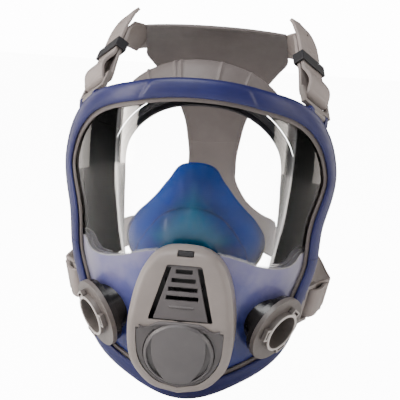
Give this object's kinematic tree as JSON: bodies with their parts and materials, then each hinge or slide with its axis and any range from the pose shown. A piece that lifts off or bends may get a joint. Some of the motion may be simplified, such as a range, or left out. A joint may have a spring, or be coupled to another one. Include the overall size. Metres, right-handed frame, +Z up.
{
  "type": "respirator",
  "caption": "Full-face respirator with a clear curved visor in a blue ring, side filter inlets, a front speech and exhaust housing, a nose cup and a rubber head harness.",
  "frame": {"origin": "middle of the face opening, inside the face seal's lip", "axes": "worn the right way up: +Z up, +Y back into the wearer's head, so the visor faces -Y; +X is the wearer's left"},
  "size_m": [0.2064, 0.2165, 0.2793],
  "materials": {
    "lens_clear": "clear polycarbonate, polished both sides",
    "ring_blue": "satin injection moulding",
    "rubber_grey": "matt moulded rubber",
    "rubber_dark": "matt moulded rubber",
    "cup_blue": "translucent silicone, smooth",
    "housing_grey": "fine satin texture",
    "insert_grey": "fine texture",
    "cap_grey": "smooth satin",
    "dark_plastic": "smooth satin",
    "valve_rubber": "thin silicone",
    "gasket_black": "smooth, slightly shiny",
    "film": "thin stretched film",
    "steel": "plain turned steel"
  },
  "bodies": {
    "mask": {"lens": "lens_clear", "lens_ring_upper": "ring_blue", "lens_ring_lower": "ring_blue", "ring_screws": "steel", "ring_nuts": "steel", "facepiece": "rubber_grey", "face_seal": "rubber_dark", "nose_cup": "cup_blue", "check_valve_seat_left": "dark_plastic", "check_valve_seat_right": "dark_plastic", "inlet_connector_left": "housing_grey", "inlet_connector_right": "housing_grey", "inlet_gasket_left": "gasket_black", "inlet_gasket_right": "gasket_black", "inlet_nut_left": "dark_plastic", "inlet_nut_right": "dark_plastic", "housing_body": "dark_plastic", "housing_gasket": "gasket_black", "housing_retainer": "dark_plastic", "speech_diaphragm": "film", "diaphragm_ring": "dark_plastic", "exhalation_seat": "dark_plastic", "housing_cover": "housing_grey", "front_grille": "insert_grey", "cover_latch": "dark_plastic", "exhaust_shield": "insert_grey", "buckle_pins": "steel"},
    "exhalation_flap": {"exhalation_valve": "valve_rubber"},
    "cap": {"exhaust_cap": "cap_grey"},
    "inlet_flap_left": {"inhalation_valve_left": "valve_rubber"},
    "check_flap_left": {"check_valve_disc_left": "valve_rubber"},
    "upper_buckle_left": {"upper_buckle_left": "housing_grey", "upper_strap_loop_left": "rubber_grey"},
    "lower_buckle_left": {"lower_buckle_left": "housing_grey", "lower_strap_loop_left": "rubber_grey"},
    "keeper_left": {"strap_keeper_left": "dark_plastic"},
    "inlet_flap_right": {"inhalation_valve_right": "valve_rubber"},
    "check_flap_right": {"check_valve_disc_right": "valve_rubber"},
    "upper_buckle_right": {"upper_buckle_right": "housing_grey", "upper_strap_loop_right": "rubber_grey"},
    "lower_buckle_right": {"lower_buckle_right": "housing_grey", "lower_strap_loop_right": "rubber_grey"},
    "keeper_right": {"strap_keeper_right": "dark_plastic"},
    "harness": {"harness_back": "rubber_grey", "upper_strap_left": "rubber_grey", "upper_strap_right": "rubber_grey", "lower_strap_left": "rubber_grey", "lower_strap_right": "rubber_grey", "upper_strap_tail_left": "rubber_grey", "upper_strap_tail_right": "rubber_grey"}
  },
  "joints": [
    {"name": "exhalation_lift", "type": "slide", "parent": "mask", "child": "exhalation_flap", "axis": [0, -0.9511, -0.309], "range_m": [0, 0.002], "stiffness_N_per_m": 20, "springref_m": -0.001},
    {"name": "inlet_lift_left", "type": "slide", "parent": "mask", "child": "inlet_flap_left", "axis": [-0.7699, 0.5199, 0.37], "range_m": [0, 0.0015], "stiffness_N_per_m": 20, "springref_m": -0.001},
    {"name": "check_lift_left", "type": "slide", "parent": "mask", "child": "check_flap_left", "axis": [-0.9518, 0.1317, 0.277], "range_m": [0, 0.001], "stiffness_N_per_m": 20, "springref_m": -0.001},
    {"name": "inlet_lift_right", "type": "slide", "parent": "mask", "child": "inlet_flap_right", "axis": [0.7699, 0.5199, 0.37], "range_m": [0, 0.0015], "stiffness_N_per_m": 20, "springref_m": -0.001},
    {"name": "check_lift_right", "type": "slide", "parent": "mask", "child": "check_flap_right", "axis": [0.9518, 0.1317, 0.277], "range_m": [0, 0.001], "stiffness_N_per_m": 20, "springref_m": -0.001},
    {"name": "cap_turn", "type": "hinge", "parent": "mask", "child": "cap", "pos_m": [0, -0.0755, -0.0617], "axis": [0, -0.9511, -0.309], "range_deg": [0, 45]},
    {"name": "upper_buckle_left", "type": "hinge", "parent": "mask", "child": "upper_buckle_left", "pos_m": [0.08021, -0.03853, 0.0934], "axis": [-0.6327, -0.6113, 0.4754], "range_deg": [-12, 12]},
    {"name": "lower_buckle_left", "type": "hinge", "parent": "mask", "child": "lower_buckle_left", "pos_m": [0.07837, -0.02289, -0.04735], "axis": [0.1898, -0.1814, 0.9649], "range_deg": [-12, 12]},
    {"name": "upper_buckle_right", "type": "hinge", "parent": "mask", "child": "upper_buckle_right", "pos_m": [-0.08021, -0.03853, 0.0934], "axis": [-0.6327, 0.6113, -0.4754], "range_deg": [-12, 12]},
    {"name": "lower_buckle_right", "type": "hinge", "parent": "mask", "child": "lower_buckle_right", "pos_m": [-0.07837, -0.02289, -0.04735], "axis": [0.1898, 0.1814, -0.9649], "range_deg": [-12, 12]},
    {"name": "harness_stretch", "type": "slide", "parent": "mask", "child": "harness", "axis": [0, 1, 0], "range_m": [0, 0.03], "stiffness_N_per_m": 150},
    {"name": "keeper_left", "type": "slide", "parent": "harness", "child": "keeper_left", "axis": [-0.1691, 0.7081, 0.6855], "range_m": [-0.005, 0.003]},
    {"name": "keeper_right", "type": "slide", "parent": "harness", "child": "keeper_right", "axis": [0.1691, 0.7081, 0.6855], "range_m": [-0.005, 0.003]}
  ]
}
